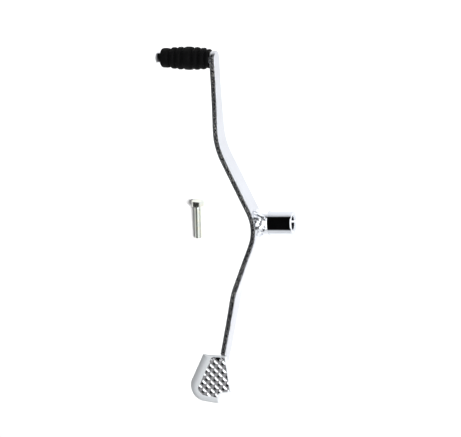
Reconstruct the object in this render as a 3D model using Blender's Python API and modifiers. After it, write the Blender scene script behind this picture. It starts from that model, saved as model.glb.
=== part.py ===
"""Heel-and-toe gear shift lever for a small motorcycle, with its loose pinch bolt lying beside it.

Frame: the origin is the middle of the clamp hub's open end, +X runs along the hub's bore out of that
end (inboard, towards the gearbox), +Y along the lever towards the toe end, +Z up out of the heel tread.
Most pieces hang on an empty in the arm's middle plane, where the hub's axis meets the arm, and are
measured from it.
"""
from math import atan2, cos, pi, radians, sin, tan

import bmesh
import bpy
from mathutils import Matrix, Vector

MM = 0.001
GAP = 0.3                      # clearance between neighbouring solids

# flat bar arm: corners of its middle line seen from above, with the bend radius at each
ARM_THICKNESS = 5.0
ARM_CORNERS = [(-27.4, 139.8, 0), (-28.1, 67.9, 60), (3.5, -3.7, 37), (-21.3, -60.5, 50), (-42.9, -146.6, 0)]
BELLY_EDGES = (10.0, -12.0)    # Z of the bar's top and bottom edge beside the hub
TOE_HALF = 6.5
HEEL_EDGES = (7.8, -9.0)
TOE_TAPER = (45.0, 120.0)      # between these Y the bar narrows towards the toe
HEEL_TAPER = (-35.0, -95.0)
EDGE_RADIUS = 0.5

# split clamp hub on the arm's inboard face
HUB_RADIUS = 10.2
HUB_LENGTH = 30.3
BORE_TIP_RADIUS = 5.6          # at the crests of the serrations
BORE_ROOT_RADIUS = 6.1
SERRATIONS = 28
SLIT_WIDTH = 1.8
SLIT_START = 11.0              # along X from the arm's middle plane
LUG_HALF_WIDTH = 6.9
LUG_BOTTOM = -15.8
LUG_MIDDLE_X = 21.6
LUG_LENGTH = 16.0
BOLT_HOLE_Z = -10.7
BOLT_HOLE_RADIUS = 3.3
TAPPED_HOLE_RADIUS = 2.55
SPOT_FACE_RADIUS = 7.2

# toe peg, welded to the outboard face, and its rubber; s is the distance from the arm's middle plane
PEG_FOOT = (-27.4, 139.8)
PEG_TILT = radians(3.3)        # towards +Y from square to the hub's bore
PEG_RADIUS = 5.7
PEG_NECK_RADIUS = 5.0
PEG_START = 3.3
PEG_NECK_END = 5.6
PEG_SIDE_END = 47.5
PEG_DOME = 4.4
RUBBER_BORE = 6.0
RUBBER_START = 3.4
RUBBER_RINGS = [(2.7, 8.0), (4.4, 9.0), (4.4, 9.5), (7.9, 9.8), (4.4, 9.5), (4.5, 9.1), (7.2, 8.3)]
GROOVE_WIDTH = 1.2
GROOVE_DEPTH = 1.0
RUBBER_SHOULDER = 2.6

# heel pad: corners of its outline, each with a corner radius and, for the side that leaves the corner,
# the width of the rolled border and how deep its skirt hangs
PAD_TOP = 7.4
PAD_THICKNESS = 2.2
THIN_SIDE_DEPTH = 3.0
PAD_CORNERS = [
    (-32.4, -117.2, 1.5, 2.0, THIN_SIDE_DEPTH),
    (-55.4, -116.6, 4.0, 7.6, 9.5),
    (-76.9, -158.4, 14.0, 6.2, 9.5),
    (-43.7, -162.4, 1.6, 1.6, THIN_SIDE_DEPTH),
    (-40.3, -152.0, 1.5, 1.6, THIN_SIDE_DEPTH),
    (-29.6, -149.6, 2.0, 1.6, THIN_SIDE_DEPTH),
    (-31.0, -129.6, 8.0, 1.6, THIN_SIDE_DEPTH),
]
ROLL_STEPS = 5
TREAD_PITCH = 7.6              # across the corners of one tread point
TREAD_START = (-43.9, -131.2)
TREAD_TURN = radians(-2.0)
TREAD_POINT_RADIUS = 3.55      # to a corner of the foot of a tread point
TREAD_TOP_RADIUS = 0.95
TREAD_HEIGHT = 1.5
TREAD_SINK = 0.6
TREAD_ROWS = 7

# pinch bolt, lying on the surface that the lug rests on
FLOOR_Z = -16.1
BOLT_X = -55.0
BOLT_UNDER_HEAD_Y = 12.8
BOLT_TURN = radians(4.3)       # its head aside towards +X
BOLT_RADIUS = 2.95
BOLT_LENGTH = 29.4
HEAD_HEIGHT = 4.6
HEAD_ACROSS_FLATS = 10.0

ARM_PLANE_X = -(HUB_LENGTH + GAP + ARM_THICKNESS / 2)

CHROME = ((0.80, 0.81, 0.83), 0.12, 1.0)
WELD_CHROME = ((0.76, 0.77, 0.79), 0.25, 1.0)
BLACK_RUBBER = ((0.012, 0.012, 0.013), 0.60, 0.0)
ZINC = ((0.62, 0.65, 0.63), 0.32, 1.0)


def clear_scene():
    for thing in list(bpy.data.objects):
        bpy.data.objects.remove(thing, do_unlink=True)


def new_collection(name):
    collection = bpy.data.collections.new(name)
    bpy.context.scene.collection.children.link(collection)
    return collection


def material(name, finish):
    colour, roughness, metallic = finish
    made = bpy.data.materials.new(name)
    made.use_nodes = True
    shader = made.node_tree.nodes["Principled BSDF"]
    shader.inputs["Base Color"].default_value = (*colour, 1)
    shader.inputs["Roughness"].default_value = roughness
    shader.inputs["Metallic"].default_value = metallic
    return made


def add_object(name, mesh, collection, parent=None, finish=None):
    made = bpy.data.objects.new(name, mesh)
    collection.objects.link(made)
    made.parent = parent
    if finish:
        mesh.materials.append(material(name, finish))
    return made


def as_cutter(thing):
    thing.hide_render = True
    thing.display_type = "WIRE"
    return thing


def boolean(thing, tool, operation):
    step = thing.modifiers.new(operation.title() + " " + tool.name, "BOOLEAN")
    step.operation = operation
    step.solver = "EXACT"
    step.object = tool


def smooth(thing, angle=35):
    thing.data.shade_smooth()
    thing.data.set_sharp_from_angle(angle=radians(angle))


def evaluated_mesh(thing, name):
    """The object's mesh with its modifiers applied and loose caps welded."""
    bpy.context.view_layer.update()
    seen = thing.evaluated_get(bpy.context.evaluated_depsgraph_get())
    mesh = bpy.data.meshes.new_from_object(seen)
    mesh.name = name
    work = bmesh.new()
    work.from_mesh(mesh)
    bmesh.ops.remove_doubles(work, verts=work.verts, dist=0.00001)
    work.to_mesh(mesh)
    work.free()
    return mesh


def outline_solid(name, points, half_depth, collection, parent=None, finish=None, stands_on_x=False):
    """A flat outline in mm, filled and given a thickness: along Z, or along X when its points are (Y, Z)."""
    curve = bpy.data.curves.new(name, "CURVE")
    curve.dimensions = "2D"
    curve.fill_mode = "BOTH"
    curve.extrude = half_depth * MM
    spline = curve.splines.new("POLY")
    spline.points.add(len(points) - 1)
    for place, (x, y) in zip(spline.points, points):
        place.co = (x * MM, y * MM, 0, 1)
    spline.use_cyclic_u = True
    drawn = bpy.data.objects.new(name + "_curve", curve)
    collection.objects.link(drawn)
    mesh = evaluated_mesh(drawn, name)
    bpy.data.objects.remove(drawn, do_unlink=True)
    if stands_on_x:
        mesh.transform(Matrix(((0, 0, 1, 0), (1, 0, 0, 0), (0, 1, 0, 0), (0, 0, 0, 1))))
    return add_object(name, mesh, collection, parent, finish)


def turned_solid(name, profile, collection, parent=None, finish=None, steps=48):
    """A profile of (radius, height) in mm, from the top down its outer side, turned about Z."""
    mesh = bpy.data.meshes.new(name)
    points = [(radius * MM, 0, height * MM) for radius, height in profile]
    closed = profile[0][0] > 0
    edges = [(i, i + 1) for i in range(len(points) - 1)] + ([(len(points) - 1, 0)] if closed else [])
    mesh.from_pydata(points, edges, [])
    turned = add_object(name, mesh, collection, parent, finish)
    screw = turned.modifiers.new("Turn", "SCREW")
    screw.steps = screw.render_steps = steps
    screw.use_merge_vertices = True
    screw.merge_threshold = 0.00001
    screw.use_smooth_shade = True
    return turned


def cylinder(name, radius, length, collection, parent=None, sides=48, end_radius=None):
    bpy.ops.mesh.primitive_cone_add(vertices=sides, radius1=radius * MM, depth=length * MM,
                                    radius2=(radius if end_radius is None else end_radius) * MM)
    made = bpy.context.object
    made.name = made.data.name = name
    for holder in list(made.users_collection):
        holder.objects.unlink(made)
    collection.objects.link(made)
    made.parent = parent
    return made


def box(name, low, high, collection, parent=None, edge=0.0):
    """A box between two corners in mm, with its edges rounded if edge is given."""
    work = bmesh.new()
    bmesh.ops.create_cube(work, size=1)
    size = [(b - a) * MM for a, b in zip(low, high)]
    middle = [(a + b) / 2 * MM for a, b in zip(low, high)]
    bmesh.ops.scale(work, vec=size, verts=work.verts)
    if edge:
        bmesh.ops.bevel(work, geom=work.edges[:], offset=edge * MM, segments=4, profile=0.5, affect="EDGES")
    mesh = bpy.data.meshes.new(name)
    work.to_mesh(mesh)
    work.free()
    made = add_object(name, mesh, collection, parent)
    made.location = middle
    return made


def bent_line(corners, step=4):
    """A line through corners of (x, y, bend radius): its points, each with its unit direction."""
    ends = [Vector(corner[:2]) for corner in corners]
    walked = [(ends[0], (ends[1] - ends[0]).normalized())]
    for before, at, after, corner in zip(ends, ends[1:], ends[2:], corners[1:]):
        arrive, leave = (at - before).normalized(), (after - at).normalized()
        turn = arrive.angle_signed(leave)          # clockwise is positive
        reach = corner[2] * tan(abs(turn) / 2)
        side = 1 if turn < 0 else -1               # the bend's centre is to the left or the right
        centre = at - arrive * reach + Vector((-arrive.y, arrive.x)) * corner[2] * side
        count = max(2, round(abs(turn) / radians(step)))
        for i in range(count + 1):
            swing = -turn * i / count
            direction = Matrix.Rotation(swing, 2) @ arrive
            walked.append((centre - Vector((-direction.y, direction.x)) * corner[2] * side, direction))
    walked.append((ends[-1], (ends[-1] - ends[-2]).normalized()))
    return walked


def strip_outline(line, half_width):
    """The outline of a strip that follows a line, half_width to each side."""
    left = [place + Vector((-way.y, way.x)) * half_width for place, way in line]
    right = [place - Vector((-way.y, way.x)) * half_width for place, way in line]
    return [tuple(p) for p in left + right[::-1]]


def ease(value):
    value = min(1.0, max(0.0, value))
    return value * value * (3 - 2 * value)


def bar_edges(y):
    """Z of the bar's top and bottom edge at one place along it."""
    (start, end), far = (TOE_TAPER, (TOE_HALF, -TOE_HALF)) if y > 0 else (HEEL_TAPER, HEEL_EDGES)
    share = ease((y - start) / (end - start))
    return [belly + (edge - belly) * share for belly, edge in zip(BELLY_EDGES, far)]


def bar_side_outline():
    """(Y, Z) outline of the bar's side: tapered, round at the toe, let down under the heel pad."""
    pad_edge = PAD_CORNERS[0][1] + GAP + 0.6
    seat = PAD_TOP - THIN_SIDE_DEPTH - GAP
    stations = [pad_edge + (PEG_FOOT[1] - pad_edge) * i / 40 for i in range(41)]
    top = [(y, bar_edges(y)[0]) for y in stations]
    bottom = [(y, bar_edges(y)[1]) for y in reversed(stations)]
    nose = [(PEG_FOOT[1] + TOE_HALF * sin(a), TOE_HALF * cos(a))
            for a in (pi * i / 16 for i in range(1, 16))]
    under_pad = [(-146.0, -2.2), (-146.0, seat), (pad_edge, seat)]
    return top + nose + bottom + under_pad


def make_arm(name, parts, cutters, parent, extra, finish=None):
    """The bar, extra thicker and higher all round when it serves to cut clearance in a neighbour."""
    line = bent_line(ARM_CORNERS)
    first, way = line[0]
    line[0] = (first - way * (TOE_HALF + 2), way)
    plan = outline_solid(name, strip_outline(line, ARM_THICKNESS / 2 + extra), BELLY_EDGES[0] + 8,
                         parts, parent, finish)
    side_outline = [(y, z + (extra if z > 0 else -extra)) for y, z in bar_side_outline()]
    side = as_cutter(outline_solid(name + "_side_cut", side_outline, 70, cutters, parent, stands_on_x=True))
    boolean(plan, side, "INTERSECT")
    return plan


def make_lever_arm(parts, cutters, parent):
    arm = make_arm("lever_arm", parts, cutters, parent, 0, CHROME)
    rounding = arm.modifiers.new("Rounded edges", "BEVEL")
    rounding.width = EDGE_RADIUS * MM
    rounding.segments = 2
    rounding.limit_method = "ANGLE"
    rounding.angle_limit = radians(50)
    smooth(arm)


def make_hub(parts, cutters, parent):
    start = ARM_THICKNESS / 2 + GAP
    end = start + HUB_LENGTH
    profile = [(0, end), (HUB_RADIUS - 0.4, end), (HUB_RADIUS, end - 0.9), (HUB_RADIUS, start), (0, start)]
    hub = turned_solid("clamp_hub", profile, parts, parent, CHROME, steps=64)
    hub.rotation_euler = (0, pi / 2, 0)
    half = LUG_LENGTH / 2
    lug = as_cutter(box("lug", (LUG_MIDDLE_X - half, -LUG_HALF_WIDTH, LUG_BOTTOM),
                        (LUG_MIDDLE_X + half, LUG_HALF_WIDTH, -3.0), cutters, parent, 1.2))
    boolean(hub, lug, "UNION")
    teeth = [((BORE_ROOT_RADIUS if i % 2 else BORE_TIP_RADIUS) * cos(pi * i / SERRATIONS),
              (BORE_ROOT_RADIUS if i % 2 else BORE_TIP_RADIUS) * sin(pi * i / SERRATIONS))
             for i in range(2 * SERRATIONS)]
    bore = as_cutter(outline_solid("bore_cut", teeth, HUB_LENGTH, cutters, parent, stands_on_x=True))
    bore.location.x = (start + end) / 2 * MM
    boolean(hub, bore, "DIFFERENCE")
    mouth = as_cutter(cylinder("mouth_cut", BORE_TIP_RADIUS - 0.3, 2.0, cutters, parent, 48,
                               BORE_ROOT_RADIUS + 1.1))
    mouth.rotation_euler = (0, pi / 2, 0)
    mouth.location.x = (end - 0.9) * MM
    boolean(hub, mouth, "DIFFERENCE")
    slit = as_cutter(box("slit_cut", (SLIT_START, -SLIT_WIDTH / 2, LUG_BOTTOM - 3),
                         (end + 3, SLIT_WIDTH / 2, -3.0), cutters, parent))
    boolean(hub, slit, "DIFFERENCE")
    for name, radius, low, high in (("bolt_hole_cut", BOLT_HOLE_RADIUS, 0.0, 14.0),
                                    ("tapped_hole_cut", TAPPED_HOLE_RADIUS, -14.0, 0.2),
                                    ("spot_face_cut", SPOT_FACE_RADIUS, LUG_HALF_WIDTH - 0.4, 14.0)):
        hole = as_cutter(cylinder(name, radius, high - low, cutters, parent, 32))
        hole.rotation_euler = (pi / 2, 0, 0)
        hole.location = (LUG_MIDDLE_X * MM, (low + high) / 2 * MM, BOLT_HOLE_Z * MM)
        boolean(hub, hole, "DIFFERENCE")
    smooth(hub)


def make_hub_weld(parts, cutters, parent):
    """A fillet of weld between the arm and the hub: broad beside the hub, thin above and below it."""
    rise = HUB_RADIUS
    collar = [(0, 12.6), (rise + 0.55, 12.4), (rise + 0.85, 11.2), (rise + 0.85, 1.5), (0, 1.5)]
    fillet = [(0, 9.2), (rise + 0.6, 9.0), (rise + 1.0, 6.0), (rise + 1.3, 4.2), (rise + 1.9, 1.5),
              (rise + 1.9, -6.0), (0, -6.0)]
    weld = turned_solid("hub_weld", collar, parts, parent, WELD_CHROME, steps=48)
    weld.rotation_euler = (0, pi / 2, 0)
    skirt = as_cutter(turned_solid("weld_fillet", fillet, cutters, parent, steps=48))
    skirt.rotation_euler = (0, pi / 2, 0)
    skirt.scale.x = 0.71       # the hub's own X stands along Z
    boolean(weld, skirt, "UNION")
    hub_room = as_cutter(cylinder("hub_room", HUB_RADIUS + GAP, 60, cutters, parent, 64))
    hub_room.rotation_euler = (0, pi / 2, 0)
    boolean(weld, hub_room, "DIFFERENCE")
    arm_room = as_cutter(make_arm("arm_room", cutters, cutters, parent, GAP))
    boolean(weld, arm_room, "DIFFERENCE")
    behind = as_cutter(box("behind_cut", (-40, -30, -30), (-1.5, 30, 30), cutters, parent))
    boolean(weld, behind, "DIFFERENCE")
    smooth(weld)


def dome(radius, base, height, count=8):
    """Profile of a rounded end from its tip down to its full radius."""
    return [(radius * sin(pi / 2 * i / count), base + height * cos(pi / 2 * i / count))
            for i in range(count + 1)]


def rubber_profile():
    """The rubber's outer side from its outboard end down: rings with round grooves between, then the bore."""
    outer = []
    rings = list(reversed(RUBBER_RINGS))
    length = sum(width for width, _ in rings) + GROOVE_WIDTH * (len(rings) - 1)
    height = RUBBER_START + length
    first_width, first_radius = rings[0]
    outer += [(RUBBER_BORE + 0.6 + (first_radius - RUBBER_BORE - 0.6) * sin(a),
               height - RUBBER_SHOULDER * (1 - cos(a))) for a in (pi / 2 * i / 4 for i in range(5))]
    height -= first_width
    for (width, radius), (_, above) in zip(rings[1:], rings):
        floor = min(radius, above) - GROOVE_DEPTH
        outer += [(above, height + 0.35), (above - 0.3, height), (floor, height - GROOVE_WIDTH * 0.3),
                  (floor, height - GROOVE_WIDTH * 0.7), (radius - 0.3, height - GROOVE_WIDTH),
                  (radius, height - GROOVE_WIDTH - 0.35)]
        height -= GROOVE_WIDTH + width
    last = rings[-1][1]
    outer += [(last, height + 0.4), (last - 0.3, height), (RUBBER_BORE + 1.05, height)]
    bore = [(RUBBER_BORE, RUBBER_START + 2.0), (RUBBER_BORE, RUBBER_START + length)]
    return outer + bore


def make_toe_end(parts, parent):
    """Peg, its weld and its rubber, all turned about one empty whose Z runs outboard along the peg."""
    axis = bpy.data.objects.new("peg_axis", None)
    parts.objects.link(axis)
    axis.parent = parent
    axis.location = (PEG_FOOT[0] * MM, PEG_FOOT[1] * MM, 0)
    axis.rotation_euler = (0, -pi / 2, -PEG_TILT)
    peg = dome(PEG_RADIUS, PEG_SIDE_END, PEG_DOME) + [
        (PEG_RADIUS, PEG_NECK_END + 0.5), (PEG_NECK_RADIUS, PEG_NECK_END), (PEG_NECK_RADIUS, PEG_START),
        (0, PEG_START)]
    smooth(turned_solid("toe_peg", peg, parts, axis, CHROME, steps=32))
    inner = PEG_NECK_RADIUS + GAP
    weld = [(inner, PEG_NECK_END - 0.4), (inner + 0.5, PEG_NECK_END - 0.5), (inner + 1.3, PEG_START + 0.3),
            (inner + 1.3, PEG_START), (inner, PEG_START)]
    smooth(turned_solid("peg_weld", weld, parts, axis, WELD_CHROME, steps=32))
    smooth(turned_solid("toe_rubber", rubber_profile(), parts, axis, BLACK_RUBBER, steps=32))


def rolled_border(corners, step=15):
    """Points round the pad's outline as (outer point, inner point, roll width, skirt depth).

    Each corner is an arc. The inner point lies on the same outline set in by the roll width, so the
    border between the two can be rolled down along straight sections.
    """
    places = [Vector(corner[:2]) for corner in corners]
    count = len(corners)
    walked = []
    for i, corner in enumerate(corners):
        arrive = (places[i] - places[i - 1]).normalized()
        leave = (places[(i + 1) % count] - places[i]).normalized()
        in_roll, in_depth = corners[i - 1][3:]
        out_roll, out_depth = corner[3:]
        turn = -arrive.angle_signed(leave)         # anticlockwise is positive, as the outline runs
        bend = 1 if turn > 0 else -1
        inward = [Vector((-arrive.y, arrive.x)), Vector((-leave.y, leave.x))]
        across = arrive.cross(leave)
        # where the two sides, each set in by its own roll width, cross
        set_in = places[i] + leave * (in_roll / across) - arrive * (out_roll / across)
        for radius, corner_at, points in ((corner[2], places[i], outer_points := []),
                                          (max(0.4, corner[2] - bend * (in_roll + out_roll) / 2),
                                           set_in, inner_points := [])):
            reach = radius * tan(abs(turn) / 2)
            centre = corner_at - arrive * reach + inward[0] * radius * bend
            steps = max(2, round(abs(turn) / radians(step)))
            for k in range(steps + 1):
                facing = Matrix.Rotation(turn * k / steps, 2) @ inward[0]
                points.append(centre - facing * radius * bend)
        for k, (outer, inner) in enumerate(zip(outer_points, inner_points)):
            share = ease(k / (len(outer_points) - 1))
            walked.append((outer, inner, in_roll + (out_roll - in_roll) * share,
                           in_depth + (out_depth - in_depth) * share))
    return walked


def border_section(outer, inner, roll, depth):
    """One section of the border, from the flat top over the roll, down the skirt and back underneath."""
    across = inner - outer
    section = []
    for i in range(ROLL_STEPS + 1):
        angle = pi / 2 * i / ROLL_STEPS
        place = outer + across * (1 - sin(angle))
        section.append((place, PAD_TOP - min(roll, depth - 0.5) * (1 - cos(angle))))
    section.append((outer, PAD_TOP - depth))
    wall = min(PAD_THICKNESS / across.length, 0.8)
    section.append((outer + across * wall, PAD_TOP - depth))
    inner_roll = max(0.15, min(roll, depth - 0.5) - PAD_THICKNESS)
    for i in range(ROLL_STEPS, -1, -1):
        angle = pi / 2 * i / ROLL_STEPS
        place = outer + across * (wall + (1 - wall) * (1 - sin(angle)))
        section.append((place, PAD_TOP - PAD_THICKNESS - inner_roll * (1 - cos(angle))))
    return section


def make_heel_pad(parts, cutters, parent):
    """A pressed pad: flat tread with a border rolled down round it, and rows of blunt pyramids on top."""
    border = rolled_border(PAD_CORNERS)
    work = bmesh.new()
    rings = []
    for outer, inner, roll, depth in border:
        rings.append([work.verts.new((place.x * MM, place.y * MM, z * MM))
                      for place, z in border_section(outer, inner, roll, depth)])
    for here, there in zip(rings, rings[1:] + rings[:1]):
        for i in range(len(here) - 1):
            work.faces.new((here[i], here[i + 1], there[i + 1], there[i]))
    work.faces.new([ring[0] for ring in rings])
    work.faces.new([ring[-1] for ring in reversed(rings)])
    bmesh.ops.recalc_face_normals(work, faces=work.faces)
    mesh = bpy.data.meshes.new("heel_pad")
    work.to_mesh(mesh)
    work.free()
    pad = add_object("heel_pad", mesh, parts, parent, CHROME)

    points = bmesh.new()
    turn = Matrix.Rotation(TREAD_TURN, 3, "Z")
    for row in range(-2 * TREAD_ROWS, 2 * TREAD_ROWS + 1):
        for column in range(-TREAD_ROWS, TREAD_ROWS + 1):
            shift = turn @ Vector(((column + (row % 2) / 2) * TREAD_PITCH, row * TREAD_PITCH / 2, 0))
            middle = Vector((*TREAD_START, PAD_TOP + (TREAD_HEIGHT - TREAD_SINK) / 2)) + shift
            bmesh.ops.create_cone(points, cap_ends=True, segments=4, radius1=TREAD_POINT_RADIUS * MM,
                                  radius2=TREAD_TOP_RADIUS * MM, depth=(TREAD_HEIGHT + TREAD_SINK) * MM,
                                  matrix=Matrix.Translation(middle * MM) @ turn.to_4x4())
    tread_mesh = bpy.data.meshes.new("tread_points")
    points.to_mesh(tread_mesh)
    points.free()
    tread = as_cutter(add_object("tread_points", tread_mesh, cutters, parent))
    flat = [tuple(inner + (inner - outer).normalized() * 0.25) for outer, inner, _, _ in border]
    limit = as_cutter(outline_solid("tread_limit", flat, PAD_TOP + 6, cutters, parent))
    boolean(tread, limit, "INTERSECT")
    boolean(pad, tread, "UNION")
    smooth(pad)


def make_pad_welds(parts, parent):
    """A bead along each side of the arm, under the pad."""
    line = bent_line(ARM_CORNERS)
    last, way = line[-1]
    bead = 1.5
    offset = ARM_THICKNESS / 2 + GAP + bead
    height = PAD_TOP - PAD_THICKNESS - GAP - bead
    for name, side, reach in (("pad_weld_inboard", 1, (3, 15)), ("pad_weld_outboard", -1, (3, 23))):
        curve = bpy.data.curves.new(name, "CURVE")
        curve.dimensions = "3D"
        curve.bevel_depth = bead * MM
        curve.bevel_resolution = 2
        curve.use_fill_caps = True
        spline = curve.splines.new("POLY")
        spline.points.add(5)
        for i, place in enumerate(spline.points):
            back = reach[0] + (reach[1] - reach[0]) * i / 5
            middle = last - way * back + Vector((-way.y, way.x)) * offset * side
            place.co = (middle.x * MM, middle.y * MM, height * MM, 1)
        drawn = bpy.data.objects.new(name + "_curve", curve)
        parts.objects.link(drawn)
        mesh = evaluated_mesh(drawn, name)
        bpy.data.objects.remove(drawn, do_unlink=True)
        smooth(add_object(name, mesh, parts, parent, WELD_CHROME), 60)


def make_bolt(parts, cutters, parent):
    """Hexagon-head bolt lying on its head's flat and its tip, head towards the toe."""
    corner = HEAD_ACROSS_FLATS / 2 / cos(pi / 6)
    shank = [(0, 1.0), (BOLT_RADIUS, 1.0), (BOLT_RADIUS, -BOLT_LENGTH + 0.8),
             (BOLT_RADIUS - 0.8, -BOLT_LENGTH), (0, -BOLT_LENGTH)]
    bolt = turned_solid("pinch_bolt", shank, parts, parent, ZINC, steps=24)
    head = as_cutter(cylinder("bolt_head", corner, HEAD_HEIGHT, cutters, bolt, 6))
    head.rotation_euler.z = pi / 6
    head.location.z = HEAD_HEIGHT / 2 * MM
    crown_profile = [(0, HEAD_HEIGHT), (HEAD_ACROSS_FLATS / 2 - 0.4, HEAD_HEIGHT),
                     (corner + 1.0, HEAD_HEIGHT - 1.0), (corner + 1.0, -1.0), (0, -1.0)]
    crown = as_cutter(turned_solid("head_crown", crown_profile, cutters, bolt, steps=24))
    boolean(head, crown, "INTERSECT")
    boolean(bolt, head, "UNION")
    lean = atan2(HEAD_ACROSS_FLATS / 2 - BOLT_RADIUS, BOLT_LENGTH)
    bolt.rotation_euler = (-pi / 2 + lean, 0, -BOLT_TURN)
    bolt.location = (BOLT_X * MM, BOLT_UNDER_HEAD_Y * MM, (FLOOR_Z + HEAD_ACROSS_FLATS / 2 + 0.4) * MM)
    smooth(bolt)


def main():
    clear_scene()
    parts = new_collection("gear_shift_lever")
    cutters = new_collection("cutters")
    arm_plane = bpy.data.objects.new("arm_plane", None)
    parts.objects.link(arm_plane)
    arm_plane.location.x = ARM_PLANE_X * MM
    make_lever_arm(parts, cutters, arm_plane)
    make_hub(parts, cutters, arm_plane)
    make_hub_weld(parts, cutters, arm_plane)
    make_toe_end(parts, arm_plane)
    make_heel_pad(parts, cutters, arm_plane)
    make_pad_welds(parts, arm_plane)
    make_bolt(parts, cutters, arm_plane)
    cutters.hide_render = True


main()
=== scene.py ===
"""Gear shift lever: finished surfaces, metal and rubber finishes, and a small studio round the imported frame.

Shapes are worked out in millimetres from the arm's middle plane, where the hub's bore meets it: X inboard
along the bore, Y towards the toe, Z up. to_frame() carries them into the frame's metres.
"""

import bmesh
import bpy
import numpy as np
from bpy.props import FloatProperty, FloatVectorProperty, IntProperty, PointerProperty
from bpy.types import Operator, Panel, PropertyGroup
from mathutils import Matrix, Vector
from numpy import arctan2, clip, cos, hypot, interp, linspace, pi, radians, sin, sqrt, stack


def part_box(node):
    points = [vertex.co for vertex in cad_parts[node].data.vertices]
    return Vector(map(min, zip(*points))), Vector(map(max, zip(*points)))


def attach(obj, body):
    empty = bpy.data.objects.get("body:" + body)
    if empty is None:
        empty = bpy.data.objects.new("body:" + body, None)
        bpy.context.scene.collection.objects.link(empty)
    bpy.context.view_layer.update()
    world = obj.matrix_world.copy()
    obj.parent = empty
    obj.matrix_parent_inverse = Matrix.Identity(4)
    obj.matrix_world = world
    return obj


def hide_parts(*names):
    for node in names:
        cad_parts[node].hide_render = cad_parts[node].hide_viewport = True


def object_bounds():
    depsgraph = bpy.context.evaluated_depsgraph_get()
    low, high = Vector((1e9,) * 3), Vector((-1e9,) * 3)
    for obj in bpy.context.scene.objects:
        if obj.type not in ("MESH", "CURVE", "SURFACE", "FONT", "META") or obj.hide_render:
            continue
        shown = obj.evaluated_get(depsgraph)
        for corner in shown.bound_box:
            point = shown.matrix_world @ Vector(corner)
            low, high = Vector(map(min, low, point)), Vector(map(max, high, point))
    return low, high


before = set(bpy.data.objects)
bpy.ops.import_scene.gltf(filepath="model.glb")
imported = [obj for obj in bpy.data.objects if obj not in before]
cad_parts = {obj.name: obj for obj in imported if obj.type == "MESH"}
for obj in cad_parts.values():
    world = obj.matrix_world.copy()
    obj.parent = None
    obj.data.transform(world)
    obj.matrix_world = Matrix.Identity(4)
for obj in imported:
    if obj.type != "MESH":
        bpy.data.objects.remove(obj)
CAD_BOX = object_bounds()

bl_info = {
    "name": "Gear shift lever",
    "version": (1, 0, 0),
    "blender": (4, 5, 0),
    "location": "View3D > Sidebar > Shift lever",
    "description": "Builds a chromed heel-and-toe shift lever piece by piece",
    "category": "Add Mesh",
}

MM = 0.001
CLEARANCE = 0.3
HALF_BAR = 2.5
ARM_PLANE = Vector((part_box("clamp_hub")[0].x - (CLEARANCE + HALF_BAR) * MM, 0, 0))
HUB_END = (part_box("clamp_hub")[1].x - ARM_PLANE.x) / MM
FLOOR_LEVEL = CAD_BOX[0].z

# bent bar: corners of its middle line with the bend radius at each, how far the line leads in, and where
# the bar is let down under the pad
BAR_CORNERS = [(-27.4, 139.8, 0), (-28.1, 67.9, 60), (3.5, -3.7, 37), (-21.3, -60.5, 50), (-42.9, -146.6, 0)]
LEAD_IN = 12
TOE_HALF = 6.5
PAD_EDGE_Y, BAR_END_Y = -116.3, -146.0
TOP_UNDER_PAD = 4.1

# hub: its foot, the end of its full ring, bore, clamp lug, and the bolt's hole as lengths and radii
HUB_FOOT = CLEARANCE + HALF_BAR
ROOT_END = 11.0
HUB_RADIUS = 10.2
RIM = 0.9
BORE_CREST, BORE_ROOT = 5.6, 6.1
LUG_X, LUG_HALF_LENGTH, LUG_HALF_WIDTH, LUG_DEPTH = 21.6, 8.0, 6.9, 15.8
HOLE_Z = -10.7
HOLE_PROFILE = np.array([[-9.0, 0.0], [-9.0, 2.55], [0.2, 2.55], [0.2, 3.3],
                         [6.5, 3.3], [6.5, 7.2], [13.0, 7.2], [13.0, 0]])

# weld round the hub's foot: its end, its inside, and lumps as angle, length, height and two breadths
WELD_END, WELD_INSIDE, WELD_REACH = 12.5, 10.25, 15.6
WELD_LUMPS = [
    (2.66, 6.3, 0.9, 0.16, 1.7), (3.35, 5.6, 1.1, 0.20, 2.3), (3.9, 8.4, 0.7, 0.15, 1.5),
    (2.25, 4.8, 0.6, 0.14, 1.6), (4.3, 4.6, 0.8, 0.16, 1.7), (1.2, 6.0, 0.2, 0.2, 2.0),
    (5.3, 6.5, 0.2, 0.2, 2.0), (0.1, 6.0, 0.3, 0.3, 2.0), (2.95, 9.4, 0.4, 0.13, 1.2),
]

# toe peg, and the rubber's rings as width and radius
PEG_FOOT = np.array([-27.4, 139.8, 0.0])
PEG_TILT = radians(3.3)
PEG_START, NECK_RADIUS = 3.3, 5.0
DOME_START, DOME_LENGTH = 48.2, 3.9
RUBBER_RINGS = [(2.7, 8.0), (4.4, 9.0), (4.4, 9.5), (7.9, 9.8), (4.4, 9.5), (4.5, 9.1), (7.2, 8.3)]
GROOVE_WIDTH, GROOVE_DEPTH, RING_CROWN = 1.2, 1.35, 0.12
RUBBER_BORE = 6.75

# heel pad: outline corners, each with its radius, and the border width and depth of the side after it
PAD_TOP = 7.4
SHEET = 2.2
PAD_MIDDLE = np.array([-50.5, -139.0])
PAD_CORNERS = [
    (-32.4, -117.2, 1.5, 2.0, 3.0),
    (-55.4, -116.6, 4.0, 7.6, 9.5),
    (-76.9, -158.4, 14.0, 6.2, 9.5),
    (-43.7, -162.4, 1.6, 1.6, 3.0),
    (-40.3, -152.0, 1.5, 1.6, 3.0),
    (-29.6, -149.6, 2.0, 1.6, 3.0),
    (-31.0, -129.6, 8.0, 1.6, 3.0),
]

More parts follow.
